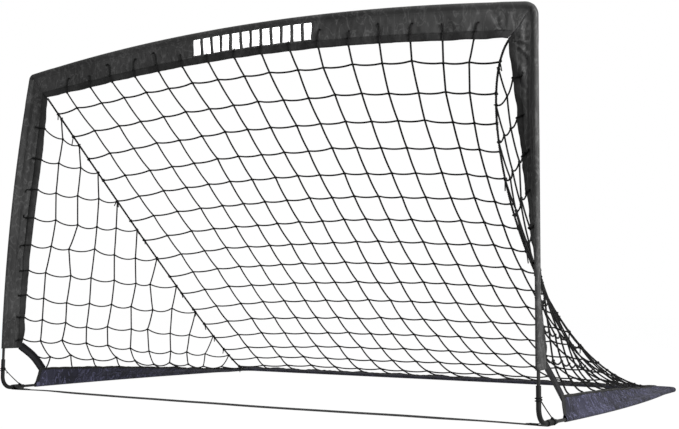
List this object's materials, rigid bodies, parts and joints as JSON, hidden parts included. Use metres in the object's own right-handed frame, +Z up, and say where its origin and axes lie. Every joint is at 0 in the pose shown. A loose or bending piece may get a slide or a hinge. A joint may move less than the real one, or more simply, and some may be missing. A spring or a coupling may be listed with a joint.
{
  "type": "portable soccer goal",
  "caption": "Portable soccer goal with a bowed pole hoop in fabric sleeves, a ground frame and a slack knotted net.",
  "frame": {"origin": "on the ground, half way between the uprights and half way from the mouth to the rear bar", "axes": "+X to the right seen from in front of the mouth, +Y from the mouth to the back, +Z up"},
  "size_m": [1.8998, 1.3559, 1.1077],
  "materials": {
    "fibreglass": "satin pultruded fibreglass pole",
    "ferrule_steel": "plain steel ferrule",
    "black_steel": "black powder coat",
    "elastic_cord": "braided elastic cord",
    "sleeve_fabric": "charcoal woven polyester sleeve",
    "hem_tape": "black binding tape with a row of stitches",
    "ground_fabric": "dark slate woven polyester",
    "webbing": "flat black polypropylene webbing",
    "binding": "folded black binding tape",
    "cord": "thin black braided cord",
    "net_rope": "black twisted seam rope",
    "net_twine": "black knotted twine"
  },
  "bodies": {
    "base": {"back_net": "net_twine", "ground_strap": "webbing", "left_corner_cord": "cord", "left_corner_tape": "binding", "left_front_elbow": "black_steel", "left_ground_sleeve": "ground_fabric", "left_rail_ferrule": "ferrule_steel", "left_rail_front_pole": "fibreglass", "left_rail_rear_pole": "fibreglass", "left_rail_shock_cord": "elastic_cord", "left_seam_rope": "net_rope", "left_side_net": "net_twine", "right_corner_cord": "cord", "right_corner_tape": "binding", "right_front_elbow": "black_steel", "right_ground_sleeve": "ground_fabric", "right_rail_ferrule": "ferrule_steel", "right_rail_front_pole": "fibreglass", "right_rail_rear_pole": "fibreglass", "right_rail_shock_cord": "elastic_cord", "right_seam_rope": "net_rope", "right_side_net": "net_twine"},
    "hoop": {"crossbar_hem": "hem_tape", "crossbar_left_ferrule": "ferrule_steel", "crossbar_left_pole": "fibreglass", "crossbar_middle_pole": "fibreglass", "crossbar_right_ferrule": "ferrule_steel", "crossbar_right_pole": "fibreglass", "crossbar_shock_cord": "elastic_cord", "crossbar_sleeve": "sleeve_fabric", "left_top_elbow": "black_steel", "left_upright_ferrule": "ferrule_steel", "left_upright_hem": "hem_tape", "left_upright_lower_pole": "fibreglass", "left_upright_shock_cord": "elastic_cord", "left_upright_sleeve": "sleeve_fabric", "left_upright_upper_pole": "fibreglass", "right_top_elbow": "black_steel", "right_upright_ferrule": "ferrule_steel", "right_upright_hem": "hem_tape", "right_upright_lower_pole": "fibreglass", "right_upright_shock_cord": "elastic_cord", "right_upright_sleeve": "sleeve_fabric", "right_upright_upper_pole": "fibreglass"},
    "rear": {"left_rear_elbow": "black_steel", "rear_ground_sleeve": "sleeve_fabric", "rear_left_ferrule": "ferrule_steel", "rear_left_pole": "fibreglass", "rear_middle_pole": "fibreglass", "rear_right_ferrule": "ferrule_steel", "rear_right_pole": "fibreglass", "rear_shock_cord": "elastic_cord", "right_rear_elbow": "black_steel"}
  },
  "joints": [
    {"name": "hoop_lift", "type": "slide", "parent": "base", "child": "hoop", "axis": [0, 0, 1], "range_m": [0, 0.045]},
    {"name": "rear_pull", "type": "slide", "parent": "base", "child": "rear", "axis": [0, 1, 0], "range_m": [0, 0.045]}
  ]
}
